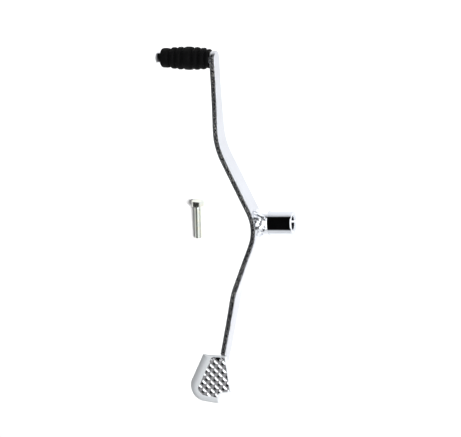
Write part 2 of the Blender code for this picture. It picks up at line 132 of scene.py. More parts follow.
# tread: a point's middle, pitch and turn of the lattice, Y of its last row, and a point's foot and top as
# shares of a step
TREAD_START = np.array([-43.9, -131.2])
TREAD_PITCH = 7.6
TREAD_TURN = radians(-2.0)
TREAD_END = -119.9
POINT_FOOT, POINT_FLAT, SEAM_START = 0.44, 0.21, 0.45
TREAD_BASE, POINT_HEIGHT, SEAM_DEPTH = 0.3, 0.62, 0.07

# bolt: middle of its head's underside, turn in plan, and measures
BOLT_SEAT = (-55.0, 12.8, -10.7)
BOLT_TURN = radians(4.3)
BOLT_LENGTH, SHANK_RADIUS = 29.4, 2.95
HEAD_HEIGHT, HEAD_HALF, HEAD_CORNER = 4.6, 5.0, 5.72


# ---------------------------------------------------------------- surfaces

def ease(share):
    """Three times the square less twice the cube of a share held between 0 and 1."""
    share = clip(share, 0, 1)
    return share * share * (3 - 2 * share)


def to_frame(points):
    """Millimetres from the arm's middle plane made metres in the frame."""
    return np.asarray(points, float).reshape(-1, 3) * MM + np.array(ARM_PLANE)


def grid_faces(rows, columns, wrap_rows=False, wrap_columns=False):
    """Corner numbers of the four-sided faces between the neighbours of a grid of points."""
    row, column = np.meshgrid(np.arange(rows if wrap_rows else rows - 1),
                              np.arange(columns if wrap_columns else columns - 1), indexing="ij")
    below, beside = (row + 1) % rows, (column + 1) % columns
    row, below = row * columns, below * columns
    return stack([row + column, row + beside, below + beside, below + column], -1).reshape(-1, 4)


def make_piece(name, points, faces, material, sharp=40, weld=1e-6, **marks):
    """Puts grid points in mm and their faces into a mesh, joins its seams and turns its faces outwards.

    Each mark is one number at every point, kept as an attribute that the material reads.
    """
    mesh = bpy.data.meshes.new(name)
    points = to_frame(points)
    mesh.vertices.add(len(points))
    mesh.vertices.foreach_set("co", points.ravel())
    mesh.loops.add(faces.size)
    mesh.loops.foreach_set("vertex_index", faces.ravel())
    mesh.polygons.add(len(faces))
    mesh.polygons.foreach_set("loop_start", np.arange(0, faces.size, 4))
    mesh.update(calc_edges=True)
    for mark, values in marks.items():
        layer = mesh.attributes.new(mark, "FLOAT", "POINT")
        layer.data.foreach_set("value", np.broadcast_to(values, len(points)).astype(np.float32).ravel())
    work = bmesh.new()
    work.from_mesh(mesh)
    bmesh.ops.remove_doubles(work, verts=work.verts, dist=weld)
    bmesh.ops.dissolve_degenerate(work, edges=work.edges, dist=weld)
    bmesh.ops.recalc_face_normals(work, faces=work.faces)
    work.to_mesh(mesh)
    work.free()
    shade(mesh, sharp)
    piece = bpy.data.objects.new(name, mesh)
    bpy.context.scene.collection.objects.link(piece)
    mesh.materials.append(material)
    return piece


def shade(mesh, sharp):
    """Smooth shading, with edges sharper than an angle in degrees left sharp."""
    mesh.polygons.foreach_set("use_smooth", np.ones(len(mesh.polygons), bool))
    mesh.set_sharp_from_angle(angle=radians(sharp))
    mesh.update()


def turned(lengths, radii, origin, axis, up, steps):
    """A profile turned about an axis: each point is the origin, plus the axis times its length, plus its
    radius times the cosine and sine of the angle along two directions square to the axis. radii may be a
    row per length with a column per angle.
    """
    angle = linspace(0, 2 * pi, steps, endpoint=False)
    axis, up = np.asarray(axis, float), np.asarray(up, float)
    side = np.cross(axis, up)
    spoke = cos(angle)[:, None] * up + sin(angle)[:, None] * side
    radii = np.asarray(radii, float)
    radii = radii if radii.ndim == 2 else np.repeat(radii[:, None], steps, 1)
    points = np.asarray(origin) + np.asarray(lengths)[:, None, None] * axis + radii[..., None] * spoke
    return points, grid_faces(len(lengths), steps, wrap_columns=True)


def cut_away(piece, cutter, operation="DIFFERENCE"):
    """Takes the cutter's solid out of the piece for good, or keeps only what is in it, and removes it."""
    cut = piece.modifiers.new("cut", "BOOLEAN")
    cut.operation, cut.object, cut.solver = operation, cutter, "EXACT"
    bpy.context.view_layer.update()
    made = bpy.data.meshes.new_from_object(piece.evaluated_get(bpy.context.evaluated_depsgraph_get()))
    piece.modifiers.clear()
    piece.data = made
    bpy.data.objects.remove(cutter, do_unlink=True)
    if not made.polygons:
        raise RuntimeError(f"cutting {piece.name} left nothing")


def bent_line(corners):
    """Middle line through corners, each rounded by an arc: cumulative length, X, Y and heading arrays.

    A point on an arc is its centre plus the radius times the sine and minus the cosine of the heading.
    """
    ends = np.array([corner[:2] for corner in corners], float)
    way = np.diff(ends, axis=0)
    way /= hypot(*way.T)[:, None]
    headings = np.unwrap(arctan2(way[:, 1], way[:, 0]))
    places, turned_to = [ends[:1] - way[:1] * LEAD_IN], [headings[:1]]
    for at, ahead, start, end, (_, _, radius) in zip(ends[1:], way, headings, headings[1:], corners[1:]):
        side = np.sign(end - start)
        left = np.array([-ahead[1], ahead[0]])
        centre = at - ahead * radius * np.tan(abs(end - start) / 2) + left * radius * side
        heading = linspace(start, end, 40)
        places.append(centre + radius * side * stack([sin(heading), -cos(heading)], -1))
        turned_to.append(heading)
    places.append(ends[-1:])
    turned_to.append(headings[-1:])
    places, turned_to = np.concatenate(places), np.concatenate(turned_to)
    length = np.concatenate([[0], np.cumsum(hypot(*np.diff(places, axis=0).T))]) - LEAD_IN
    return length, places[:, 0], places[:, 1], turned_to


def along_bar(line, length, beside, height):
    """Carries (length along the bar, distance inboard of its middle, height) onto the bent line."""
    heading = interp(length, line[0], line[3])
    x = interp(length, line[0], line[1]) - sin(heading) * beside
    y = interp(length, line[0], line[2]) + cos(heading) * beside
    return stack([x, y, height + 0 * x], -1)


def bar_edges(y):
    """Z of the bar's top and bottom edge: eased from the belly to the toe and to the heel."""
    toe, heel = ease((y - 45) / 75), ease((-35 - y) / 60)
    return 10 - 3.5 * toe - 2.2 * heel, -12 + 5.5 * toe + 3.0 * heel


def side_chains(line):
    """Top and bottom edge of the bar's side as (length, height): a round nose, then the eased edges, let
    down under the heel pad.
    """
    swing = linspace(0, pi / 2, 28)[:-1]
    step, end = interp([-PAD_EDGE_Y, -BAR_END_Y], -line[2], line[0])
    run = np.concatenate([linspace(0, step - 0.8, 330), linspace(step - 0.6, step + 0.8, 16),
                          linspace(step + 1.4, end, 40)])
    y = interp(run, line[0], line[2])
    top, bottom = bar_edges(y)
    under = ease((run - step + 0.6) / 1.2)
    top = top * (1 - under) + TOP_UNDER_PAD * under
    bottom = bottom + clip((run - step) / (end - step), 0, 1) * 6.8
    nose, rise = -TOE_HALF * cos(swing), TOE_HALF * sin(swing)
    return np.concatenate([nose, run]), np.concatenate([rise, top]), np.concatenate([-rise, bottom])


def bar_surface(thickness, edge):
    """The bar as rings of points: a rim with rounded corners and a slight crown, set square to the side's
    outline, over the top edge, down the inboard face, under the bottom edge and up the outboard face.
    """
    line = bent_line(BAR_CORNERS)
    length, top, bottom = side_chains(line)
    half = thickness / 2
    arc = linspace(0, pi / 2, 7)
    flat = linspace(-half + edge, half - edge, 13)[1:-1]
    crown = 0.10 * (1 - (flat / (half - edge)) ** 2)
    across = np.concatenate([-half + edge * (1 - cos(arc)), flat, half - edge * (1 - cos(arc[::-1]))])
    sunk = np.concatenate([edge * (1 - sin(arc)), -crown, edge * (1 - sin(arc[::-1]))])
    on_rim = np.concatenate([ease(arc / 1.4), 1 + 0 * flat, ease(arc[::-1] / 1.4)])
    rings = []
    for height, sense in ((top, 1), (bottom, -1)):
        run, rise = np.gradient(length), np.gradient(height)
        size = hypot(run, rise)
        out_run, out_rise = -sense * rise / size, sense * run / size
        rings.append((length[:, None] - out_run[:, None] * sunk, height[:, None] - out_rise[:, None] * sunk))
    share = linspace(0, 1, 12)[1:-1]
    loops = []
    for over, under in zip(*rings):
        inboard = over[:, -1:] + (under[:, -1:] - over[:, -1:]) * share
        outboard = under[:, :1] + (over[:, :1] - under[:, :1]) * share
        loops.append(np.concatenate([over, inboard, under[:, ::-1], outboard], 1))
    run, rise = loops
    beside = np.concatenate([across, half + 0 * share, across[::-1], -half + 0 * share])
    rim = np.concatenate([on_rim, 0 * share, on_rim[::-1], 0 * share])
    points = along_bar(line, run, beside + 0 * run, rise)
    closing = points[-1:].mean(1, keepdims=True) + 0 * points[-1:]
    points = np.concatenate([points, closing])
    rim = np.broadcast_to(rim, points.shape[:2])
    return points, grid_faces(*points.shape[:2], wrap_columns=True), rim.ravel()


def lug_radius(x, angle, radius):
    """Distance from the bore's axis to the outside of hub and lug: the greater of the round and of a box
    with rounded corners, which stands only over the lug's own length. angle is from straight down.
    """
    reach = clip(1 - np.abs((x - LUG_X) / LUG_HALF_LENGTH) ** 9, 0, 1) ** (1 / 9)
    wide, deep = LUG_HALF_WIDTH * reach + 1e-6, LUG_DEPTH * reach + 1e-6
    down = cos(angle)
    box = ((np.abs(sin(angle)) / wide) ** 10 + (np.abs(down) / deep) ** 10) ** -0.1
    box = np.where(down > 0, box, 0)
    return np.maximum(radius, box)


def tooth_radius(angle, crest, root, teeth):
    """Bore radius: a zigzag between crest and root, flattened at both."""
    phase = np.abs((angle * teeth / (2 * pi)) % 1 * 2 - 1)
    return crest + (root - crest) * ease(clip((phase - 0.12) / 0.76, 0, 1))


def hub_surface(radius, slit, teeth):
    """The clamp, a C with its gap straight down: outside with the lug, rounded rim, end ring, mouth and
    toothed bore, as one shell of points, and the two walls of the slit between its ends.
    """
    end = HUB_END
    lug = LUG_X + LUG_HALF_LENGTH * sin(linspace(-pi / 2, pi / 2, 41))
    outside = np.concatenate([linspace(ROOT_END, 13.2, 5), lug, linspace(30.0, end - RIM, 6)])
    roll = linspace(0, pi / 2, 7)[1:]
    x = np.concatenate([outside, end - RIM * (1 - sin(roll)), [end, end, end - 0.05, end - 0.5, end - 1.1],
                        linspace(end - 1.2, ROOT_END, 12)])
    round_off = np.concatenate([0 * outside, 0.4 * (1 - cos(roll)), [0.6, 1.6, 0, 0, 0], np.zeros(12)])
    inner = np.arange(len(x)) >= len(outside) + len(roll) + 2
    mouth = np.where(inner, clip((x - (end - 1.1)) / 1.1, 0, 1) * 1.1, 0)
    taper = BORE_CREST + mouth[:, None] * 1.45
    share = linspace(0, 1, 28 * 9 + 1)

    def place(columns):
        gap = np.full((len(x), 1), 0.15)
        for _ in range(4):
            angle = gap + (2 * pi - 2 * gap) * columns
            outer = lug_radius(x[:, None], angle, radius) - round_off[:, None]
            bore = np.maximum(tooth_radius(angle, BORE_CREST, BORE_ROOT, teeth), taper)
            far = np.where(inner[:, None], bore, outer)
            edge = np.where(inner[:, None], taper, lug_radius(x[:, None], gap, radius) - round_off[:, None])
            gap = np.arcsin(slit / 2 / edge)
        return stack([x[:, None] + 0 * far, far * sin(angle), -far * cos(angle)], -1)

    shell = place(share[None, :])
    shell = np.concatenate([shell, shell[:1]])
    rows, columns = shell.shape[:2]
    faces = grid_faces(rows, columns)
    walls = []
    turn = len(outside) + len(roll) + 1
    for column in (0, columns - 1):
        outer_line, inner_line = shell[:turn + 1, column], shell[turn + 1:-1, column][::-1]
        at = outer_line[:, 0]
        inner_line = stack([interp(at, inner_line[:, 0], values) for values in inner_line.T], -1)
        depth = linspace(0, 1, 9)[None, :, None]
        wall = outer_line[:, None] * (1 - depth) + inner_line[:, None] * depth
        wall[:, :, 1] = outer_line[:, 1:2]
        walls.append(wall)
    return shell, faces, walls


def ring_shell(lengths, radii, steps=252):
    """A closed ring about the bore's axis from a profile that returns to its start."""
    lengths, radii = np.append(lengths, lengths[0]), np.append(radii, radii[0])
    return turned(lengths, radii, (0, 0, 0), (1, 0, 0), (0, 0, -1), steps)


def weld_surface():
    """Weld metal round the hub's foot. At each angle about the bore it rises from the bar's inboard face to
    the hub: the greater of a flared, flattened skirt and of a thin collar, plus ripples and a few lumps,
    which are bell curves over angle and length.
    """
    angle = linspace(0, 2 * pi, 240, endpoint=False)[None, :]
    share = linspace(0, 1, 70)[:, None]
    line = bent_line(BAR_CORNERS)
    face_x = line[1] - sin(line[3]) * (HALF_BAR + 0.02)
    face_y = line[2] + cos(line[3]) * (HALF_BAR + 0.02)
    order = np.argsort(face_y)
    low = interp(sin(angle) * 14.6, face_y[order], face_x[order])
    x = low + (WELD_END - low) * share ** 1.15
    squeeze = 1 / sqrt(sin(angle) ** 2 + (cos(angle) / 0.72) ** 2)
    skirt = squeeze * interp(x, [-4, 1.5, 3.4, 5.4, 8.0, 12.5], [12.0, 11.8, 11.2, 10.8, 10.5, 9.5])
    crown = np.exp(-((angle - pi) / 0.95) ** 2)
    swelling = interp(x, [-4, 2.5, 5.0, 9.0, 11.2, 12.2, 12.5], [2.1, 2.0, 1.5, 0.8, 0.4, 0.05, -0.15])
    collar = 10.4 + crown * swelling
    radius = np.log(np.exp(skirt * 3) + np.exp(collar * 3)) / 3
    radius = np.minimum(radius, WELD_REACH)
    body = sin(pi * share) ** 0.7
    ripple = (0.16 * sin(11 * angle + 3.0 * sin(2 * angle) + 5 * share) + 0.12 * sin(19 * angle - 9 * share)
              + 0.14 * sin(6 * angle + 14 * share))
    lumps = 0
    for at, length, size, wide, tall in WELD_LUMPS:
        apart = (angle - at + pi) % (2 * pi) - pi
        lumps = lumps + size * np.exp(-(apart / wide) ** 2 - ((x - length) / tall) ** 2)
    radius = np.maximum(radius + (ripple + lumps) * body, WELD_INSIDE)
    ring = stack([x, radius * sin(angle), -radius * cos(angle)], -1)
    foot, cuff = [stack([x_end, WELD_INSIDE * sin(angle), -WELD_INSIDE * cos(angle)], -1)
                  for x_end in (low, WELD_END + 0 * angle)]
    points = np.concatenate([foot, ring, cuff, foot])
    return points, grid_faces(*points.shape[:2], wrap_columns=True)


def rubber_profile(start):
    """The grip's outside from the arm outwards: each ring swells from groove floor to its radius and back
    as a rounded square does (one less a power of the place across it, to that power's inverse),
    then a round shoulder and the bore.
    """
    radii = np.array(RUBBER_RINGS)[:, 1]
    floors = np.maximum(np.minimum(radii[1:], radii[:-1]) - GROOVE_DEPTH, 7.05)
    across = sin(linspace(-pi / 2, pi / 2, 31))
    lengths, outside = [], []
    at = start
    for i, (width, radius) in enumerate(RUBBER_RINGS):
        before = floors[i - 1] if i else radius - 0.55
        after = floors[i] if i < len(floors) else 7.15
        bulge = (1 - np.abs(across) ** 3.2) ** (1 / 3.2)
        crown = RING_CROWN * (1 - across ** 2)
        if i == len(floors):
            bulge = np.where(across > 0, (1 - np.abs(across) ** 4) ** (1 / 4), bulge)
        lengths.append(at + width * (across + 1) / 2)
        floor = np.where(across < 0, before, after)
        outside.append(floor + (radius - floor) * bulge + crown - RING_CROWN)
        at += width
        if i < len(floors):
            lengths.append(at + linspace(0, GROOVE_WIDTH, 4)[1:-1])
            outside.append(np.full(2, floors[i] - RING_CROWN))
            at += GROOVE_WIDTH
    lengths.append(np.array([at - 0.05, at - 0.4, start + 2.2, start + 0.2, start, start]))
    outside.append(np.array([6.95, RUBBER_BORE, RUBBER_BORE, RUBBER_BORE, 6.85, 7.3]))
    return np.concatenate(lengths), np.concatenate(outside)


def corner_walk(corners, step=4):
    """The pad's outline as arrays of outer point, inner point, border width and skirt depth, with an arc at
    each corner; the inner outline is the outer one set in by the border's width.
    """
    data = np.array(corners, float)
    at, radius, roll, depth = data[:, :2], data[:, 2], data[:, 3], data[:, 4]
    arrive = at - np.roll(at, 1, 0)
    arrive /= hypot(*arrive.T)[:, None]
    leave = np.roll(arrive, -1, 0)
    walked = []
    for i in range(len(data)):
        a, b, r0, r1 = arrive[i], leave[i], roll[i - 1], roll[i]
        cross = a[0] * b[1] - a[1] * b[0]
        turn = arctan2(cross, a @ b)
        bend = np.sign(turn)
        inward = np.array([-a[1], a[0]])
        set_in = at[i] + b * r0 / cross - a * r1 / cross
        share = linspace(0, 1, max(3, int(abs(turn) / radians(step)) + 1))
        facing = stack([cos(turn * share) * inward[0] - sin(turn * share) * inward[1],
                        sin(turn * share) * inward[0] + cos(turn * share) * inward[1]], -1)
        lines = []
        for size, corner in ((radius[i], at[i]), (max(0.4, radius[i] - bend * (r0 + r1) / 2), set_in)):
            centre = corner - a * size * np.tan(abs(turn) / 2) + inward * size * bend
            lines.append(centre - facing * size * bend)
        mix = ease(share)[:, None]
        before, after = depth[i - 1], depth[i]
        walked.append(np.concatenate([*lines, r0 + (r1 - r0) * mix, before + (after - before) * mix], 1))
    walked = np.concatenate(walked)
    return np.concatenate([walked, walked[:1]])


def tread_plate():
    """Blunt pyramids on a lattice turned 45 degrees: height falls with the greater of the distances from a
    point's middle along the two lattice lines, and a shallow seam runs between them. A flat underside
    closes the plate.
    """
    side = TREAD_PITCH / sqrt(2)
    half = np.array([0.10, POINT_FLAT, 0.23, 0.28, 0.36, POINT_FOOT, SEAM_START, 0.475])
    offsets = np.concatenate([[-0.5], -half[::-1], [0], half])
    one = (np.arange(-8, 9)[:, None] + offsets).ravel() * side
    u, v = np.meshgrid(one, one, indexing="ij")
    far = np.maximum(np.abs((u / side + 0.5) % 1 - 0.5), np.abs((v / side + 0.5) % 1 - 0.5))
    rise = clip((POINT_FOOT - far) / (POINT_FOOT - POINT_FLAT), 0, 1)
    seam = clip((far - SEAM_START) / 0.05, 0, 1)
    turn = TREAD_TURN + pi / 4
    x = TREAD_START[0] + cos(turn) * u - sin(turn) * v
    y = TREAD_START[1] + sin(turn) * u + cos(turn) * v
    height = PAD_TOP + TREAD_BASE + POINT_HEIGHT * rise * ease((TREAD_END - y) / 0.5) - SEAM_DEPTH * seam
    top = stack([x, y, height], -1)
    low = stack([x, y, 0 * x + PAD_TOP - 1.2], -1)
    count = len(one)
    rim = np.concatenate([np.arange(count), np.arange(1, count) * count + count - 1,
                          (count - 1) * count + np.arange(count - 2, -1, -1),
                          np.arange(count - 2, 0, -1) * count])
    beside = np.roll(rim, -1)
    walls = stack([rim, beside, beside + count * count, rim + count * count], -1)
    faces = np.concatenate([grid_faces(count, count), grid_faces(count, count) + count * count, walls])
    return np.concatenate([top.reshape(-1, 3), low.reshape(-1, 3)]), faces


def tread_room():
    """A wall to trim the plate to, closed above and below. It stands on the border's inner outline, with
    three of the border's widths altered.
    """
    wider = np.zeros((len(PAD_CORNERS), 5))
    wider[:3, 3] = -1.0, 1.9, 1.6
    inner = corner_walk(np.array(PAD_CORNERS) + wider)[:-1, 2:4]
    levels = [(0.0, -3.0), (1.0, -3.0), (1.0, 5.0), (0.0, 5.0)]
    rows = [np.concatenate([PAD_MIDDLE + (inner - PAD_MIDDLE) * share,
                            np.full((len(inner), 1), PAD_TOP + level)], 1) for share, level in levels]
    points = stack(rows)
    return points, grid_faces(*points.shape[:2], wrap_columns=True)


def pad_surface():
    """The pad as a profile carried round its outline: flat from its middle out to the border, over the roll
    and down the skirt, under its lip, and back beneath to the middle. Roll and underside are quarter ovals.
    """
    walked = corner_walk(PAD_CORNERS)
    length = np.concatenate([[0], np.cumsum(hypot(*np.diff(walked[:, :2], axis=0).T))])
    around = linspace(0, length[-1], 620, endpoint=False)
    outer_x, outer_y, inner_x, inner_y, roll, depth = [interp(around, length, walked[:, k]) for k in range(6)]
    outer, inner = stack([outer_x, outer_y], -1), stack([inner_x, inner_y], -1)
    share = np.array([0, 0.3, 0.6, 0.9, 0.985, 1.0])[:, None, None]
    flat = PAD_MIDDLE + (inner - PAD_MIDDLE) * share
    height = PAD_TOP + 0 * flat[..., 0]
    rows, levels = [flat], [height]
    drop = np.minimum(roll, depth - 0.5)
    swing = linspace(0, pi / 2, 17)[:, None]
    rows.append(inner + (outer - inner) * sin(swing)[..., None])
    levels.append(PAD_TOP - drop * (1 - cos(swing)))
    wide = hypot(*(inner - outer).T)
    wall = np.minimum(SHEET / wide, 0.8)
    down = linspace(0, 1, 6)[1:, None]
    rows.append(np.broadcast_to(outer, (5, *outer.shape)))
    levels.append(PAD_TOP - drop - (depth - 0.4 - drop) * down)
    lip = linspace(0, pi, 9)[1:-1, None]
    rows.append(outer + (inner - outer) * (wall * (1 - cos(lip)) / 2)[..., None])
    levels.append(PAD_TOP - depth + 0.4 - 0.4 * sin(lip))
    under = linspace(pi / 2, 0, 10)[:, None]
    inner_drop = np.maximum(0.15, drop - SHEET)
    rows.append(outer + (inner - outer) * (wall + (1 - wall) * (1 - sin(under)))[..., None])
    levels.append(PAD_TOP - SHEET - inner_drop * (1 - cos(under)))
    back = linspace(1, 0, 9)[1:, None, None]
    rows.append(PAD_MIDDLE + (inner - PAD_MIDDLE) * back)
    levels.append(np.full((8, len(around)), PAD_TOP - SHEET))
    plan, level = np.concatenate(rows), np.concatenate(levels)
    points = np.concatenate([plan, level[..., None]], -1)
    return points, grid_faces(*level.shape, wrap_columns=True)


def bead_surface(side, reach, radius):
    """A weld bead beside the bar under the pad: a circle carried along a straight run, its radius rippled
    by a sine of the length and shrunk to nothing at both ends.
    """
    line = bent_line(BAR_CORNERS)
    end = line[0][-1]
    share = linspace(0, 1, 90)[:, None]
    angle = linspace(0, 2 * pi, 40, endpoint=False)[None, :]
    along = end - reach[1] + (reach[1] - reach[0]) * share
    size = radius * clip(1 - np.abs(2 * share - 1) ** 8, 0, 1) ** 0.5
    size = size * (0.93 + 0.06 * sin(share * (reach[1] - reach[0]) * 4.2 + 0.8 * cos(angle)))
    beside = side * (HALF_BAR + CLEARANCE + radius) + size * cos(angle)
    height = PAD_TOP - SHEET - CLEARANCE - radius + size * sin(angle)
    points = along_bar(line, along + 0 * angle, beside, height)
    return points, grid_faces(*points.shape[:2], wrap_columns=True)


def bolt_surface(pitch, depth):
    """Bolt along its own axis, as radius by length and angle. The head is the least of a hexagon (half its
    width over the cosine of the angle from the nearest flat), of a circle that blunts its corners and of a
    cone at each end. The shank has a narrow rounded groove on a helix: its depth is a bell curve of the
    length in pitches plus the angle in turns.
    """
    steps = 144
    angle = linspace(0, 2 * pi, steps, endpoint=False)[None, :]
    flat = np.minimum(HEAD_HALF / cos((angle + pi / 6) % (pi / 3) - pi / 6), HEAD_CORNER)
    high = np.concatenate([[3.7], HEAD_HEIGHT - 0.6 * (1 - sin(linspace(0, pi / 2, 12)))])[:, None]
    low = np.array([0.0, 0.12, 0.3, 1.5])[:, None]
    shank = linspace(-28.5, -0.9, 360)[:, None]
    turn = (shank / pitch + angle / (2 * pi)) % 1 - 0.5
    grown = ease((shank + 29.0) / 1.0) * ease((-1.6 - shank) / 0.8)
    groove = depth * np.exp(-(turn / 0.17) ** 2) * grown
    rows = [(np.array([[-BOLT_LENGTH], [-BOLT_LENGTH], [-29.2]]),
             np.array([[0.0], [1.9], [2.15]]) + 0 * angle),
            (shank, SHANK_RADIUS - groove + 0.02 * sin(3 * angle)),
            (np.array([[-0.5], [-0.2], [0.0]]), np.array([[3.0], [3.15], [3.6]]) + 0 * angle),
            (low, np.minimum(flat, 5.3 + low * 2.2)),
            (high, np.minimum(flat, 5.2 + (HEAD_HEIGHT - high) * 1.55)),
            (np.array([[HEAD_HEIGHT], [HEAD_HEIGHT]]), np.array([[4.6], [0.0]]) + 0 * angle)]
    lengths = np.concatenate([z.ravel() for z, _ in rows])
    return lengths, np.concatenate([r for _, r in rows]), steps


# ---------------------------------------------------------------- finishes

class Nodes:
    """A node tree being put together. Inputs take a number, a colour or a link."""

    def __init__(self, tree):
        self.tree = tree

    def feed(self, socket, value):
        if isinstance(value, bpy.types.NodeSocket):
            self.tree.links.new(value, socket)
        else:
            socket.default_value = (*value, 1) if socket.type == "RGBA" else value

    def add(self, kind, *sources, **values):
        """A new node: sources go to its inputs in order, other values to the input or setting so named."""
        made = self.tree.nodes.new("ShaderNode" + kind)
        for name, value in values.items():
            socket = made.inputs.get(name.replace("_", " "))
            if socket is None:
                setattr(made, name, value)
            else:
                self.feed(socket, value)
        for socket, source in zip(made.inputs, sources):
            self.feed(socket, source)
        return made

    def math(self, operation, one, other):
        return self.add("Math", one, other, operation=operation).outputs["Value"]


class Finish(Nodes):
    """A material, with noise, colours and bumps worked out in the piece's own coordinates."""

    def __init__(self, name):
        self.material = bpy.data.materials.new(name)
        self.material.use_nodes = True
        super().__init__(self.material.node_tree)
        self.shader = self.tree.nodes["Principled BSDF"]
        self.place = self.add("TexCoord").outputs["Object"]

    def noise(self, scale, detail, roughness=0.55, stretch=None, distortion=0.0):
        source = self.place
        if stretch:
            source = self.add("Mapping", Vector=source, Scale=stretch).outputs["Vector"]
        return self.add("TexNoise", Vector=source, Scale=scale, Detail=detail, Roughness=roughness,
                        Distortion=distortion).outputs["Fac"]

    def span(self, source, low, high, to_low=0.0, to_high=1.0):
        return self.add("MapRange", source, low, high, to_low, to_high).outputs["Result"]

    def mark(self, name):
        return self.add("Attribute", attribute_name=name).outputs["Fac"]

    def blend(self, share, one, other):
        made = self.add("Mix", data_type="RGBA")
        for place, value in ((0, share), (6, one), (7, other)):
            self.feed(made.inputs[place], value)
        return made.outputs[2]

    def bump(self, height, strength, distance, normal=None):
        made = self.add("Bump", Height=height, Strength=strength, Distance=distance)
        if normal is not None:
            self.feed(made.inputs["Normal"], normal)
        return made.outputs["Normal"]

    def set(self, **values):
        for name, value in values.items():
            self.feed(self.shader.inputs[name.replace("_", " ")], value)
        return self.material


def toned(colour, factor):
    """A colour made darker or lighter by a factor."""
    return tuple(part * factor for part in colour)


def chrome_bar(colour):
    """Bright chrome on rolled bar: faint waves on the faces, and mottled, sheared metal along the rim: rougher
    and bumped, with dark patches painted in as a reflection of the dark ceiling.
    """
    finish = Finish("chromed_bar")
    rim = finish.mark("rim")
    waves = finish.noise(95, 2.0, 0.5, (1, 0.35, 1))
    grain = finish.noise(5200, 2.0, 0.6, (1, 0.05, 1))
    mottle = finish.noise(2000, 3.0, 0.6, (1.0, 0.35, 1.0), 0.4)
    rough_dark_rim = finish.span(mottle, 0.53, 0.62)
    rough_dark_rim = finish.math("MULTIPLY", rough_dark_rim, rim)
    clouds = finish.noise(60, 3.0, 0.6)
    clean = finish.blend(finish.span(clouds, 0.35, 0.65), toned(colour, 0.96), colour)
    # painted reflection: dark olive patches on the rim stand for the dark ceiling seen in the sheared edge;
    # the roughness and bumps there are the real rough metal
    dark_patches = finish.blend(finish.span(waves, 0.4, 0.6), (0.22, 0.21, 0.19), (0.60, 0.58, 0.54))
    tinted = finish.blend(rough_dark_rim, clean, dark_patches)
    rough = finish.math("ADD", finish.span(clouds, 0.3, 0.7, 0.07, 0.12), finish.math("MULTIPLY", rough_dark_rim, 0.30))
    fine = finish.bump(grain, 0.05, 0.0001)
    wavy = finish.bump(waves, 0.10, 0.0004, fine)
    pitted = finish.bump(finish.math("MULTIPLY", mottle, rim), 0.30, 0.00025, wavy)
    return finish.set(Base_Color=tinted, Metallic=1.0, Roughness=rough, Normal=pitted)


def chrome_turned(name, colour):
    """Bright chrome on turned or polished steel: fine polishing lines and a slight orange peel."""
    finish = Finish(name)
    lines = finish.noise(900, 2.0, 0.5, (6.0, 0.6, 0.6))
    peel = finish.noise(420, 2.0, 0.5)
    clouds = finish.noise(130, 4.0, 0.6)
    tinted = finish.blend(finish.span(clouds, 0.3, 0.7), toned(colour, 0.95), colour)
    rough = finish.span(clouds, 0.3, 0.7, 0.045, 0.085)
    peeled = finish.bump(peel, 0.035, 0.0003)
    lined = finish.bump(lines, 0.03, 0.00008, peeled)
    return finish.set(Base_Color=tinted, Metallic=1.0, Roughness=rough, Normal=lined)


def chrome_weld(name, colour):
    """Chrome over weld metal: smooth lumps with small pits, painted dark inside as shade."""
    finish = Finish(name)
    lumps = finish.noise(520, 3.0, 0.5, None, 0.8)
    shaded_pits = finish.add("TexVoronoi", Vector=finish.place, Scale=650.0).outputs["Distance"]
    shaded_pits = finish.math("MULTIPLY", finish.span(shaded_pits, 0.16, 0.05), finish.span(lumps, 0.52, 0.60))
    # painted shade: the pits are coloured dark grey; their sinking and extra roughness are real
    tinted = finish.blend(shaded_pits, finish.blend(finish.span(lumps, 0.35, 0.7), toned(colour, 0.9), colour),
                          (0.16, 0.15, 0.15))
    rough = finish.math("ADD", finish.span(lumps, 0.3, 0.7, 0.08, 0.16), finish.math("MULTIPLY", shaded_pits, 0.4))
    bumped = finish.bump(lumps, 0.45, 0.0006)
    sunk = finish.bump(finish.math("MULTIPLY", shaded_pits, -1.0), 0.5, 0.0004, bumped)
    return finish.set(Base_Color=tinted, Metallic=1.0, Roughness=rough, Normal=sunk)


def chrome_pad(name, colour, scuffing):
    """Chrome on pressed sheet: satin on the rolled border, brighter but scuffed on the tread points."""
    finish = Finish(name)
    clouds = finish.noise(75, 4.0, 0.6)
    scuffs = finish.noise(900, 3.0, 0.65, (1, 0.4, 1), 0.5)
    dark_patches = finish.span(scuffs, 0.50, 0.72, 0.0, 0.6 * scuffing)
    clean = finish.blend(finish.span(clouds, 0.35, 0.7), toned(colour, 0.93), colour)
    tinted = finish.blend(dark_patches, clean, toned(colour, 0.55))
    rough = finish.span(clouds, 0.3, 0.7, 0.42 - 0.38 * scuffing, 0.50 - 0.42 * scuffing)
    grain = finish.noise(2600, 3.0, 0.6)
    peeled = finish.bump(grain, 0.10 - 0.06 * scuffing, 0.0001)
    scuffed = finish.bump(scuffs, 0.05, 0.0002, peeled)
    return finish.set(Base_Color=tinted, Metallic=0.2 + 0.8 * scuffing, Roughness=rough, Normal=scuffed)


def black_rubber(colour):
    """Matt moulded rubber: fine grain, a dusty bloom, and slightly polished ridges whose crowns are painted a
    little lighter as a highlight.
    """
    finish = Finish("black_rubber")
    grain = finish.noise(2400, 4.0, 0.65)
    dust = finish.noise(160, 5.0, 0.65, (1, 1.8, 1))
    ridge = finish.mark("ridge")
    bloom = finish.math("MULTIPLY", finish.span(dust, 0.52, 0.75), 0.5)
    dusty = finish.blend(bloom, colour, toned(colour, 2.2))
    # painted highlight: ring crowns lighter than the grooves, in place of shade in the grooves
    tinted = finish.blend(finish.math("MULTIPLY", ridge, 0.25), dusty, toned(colour, 1.8))
    dull = finish.span(dust, 0.3, 0.7, 0.62, 0.78)
    rough = finish.math("SUBTRACT", dull, finish.math("MULTIPLY", ridge, 0.12))
    bumped = finish.bump(grain, 0.22, 0.00012)
    return finish.set(Base_Color=tinted, Roughness=rough, Specular_IOR_Level=0.07, Normal=bumped)


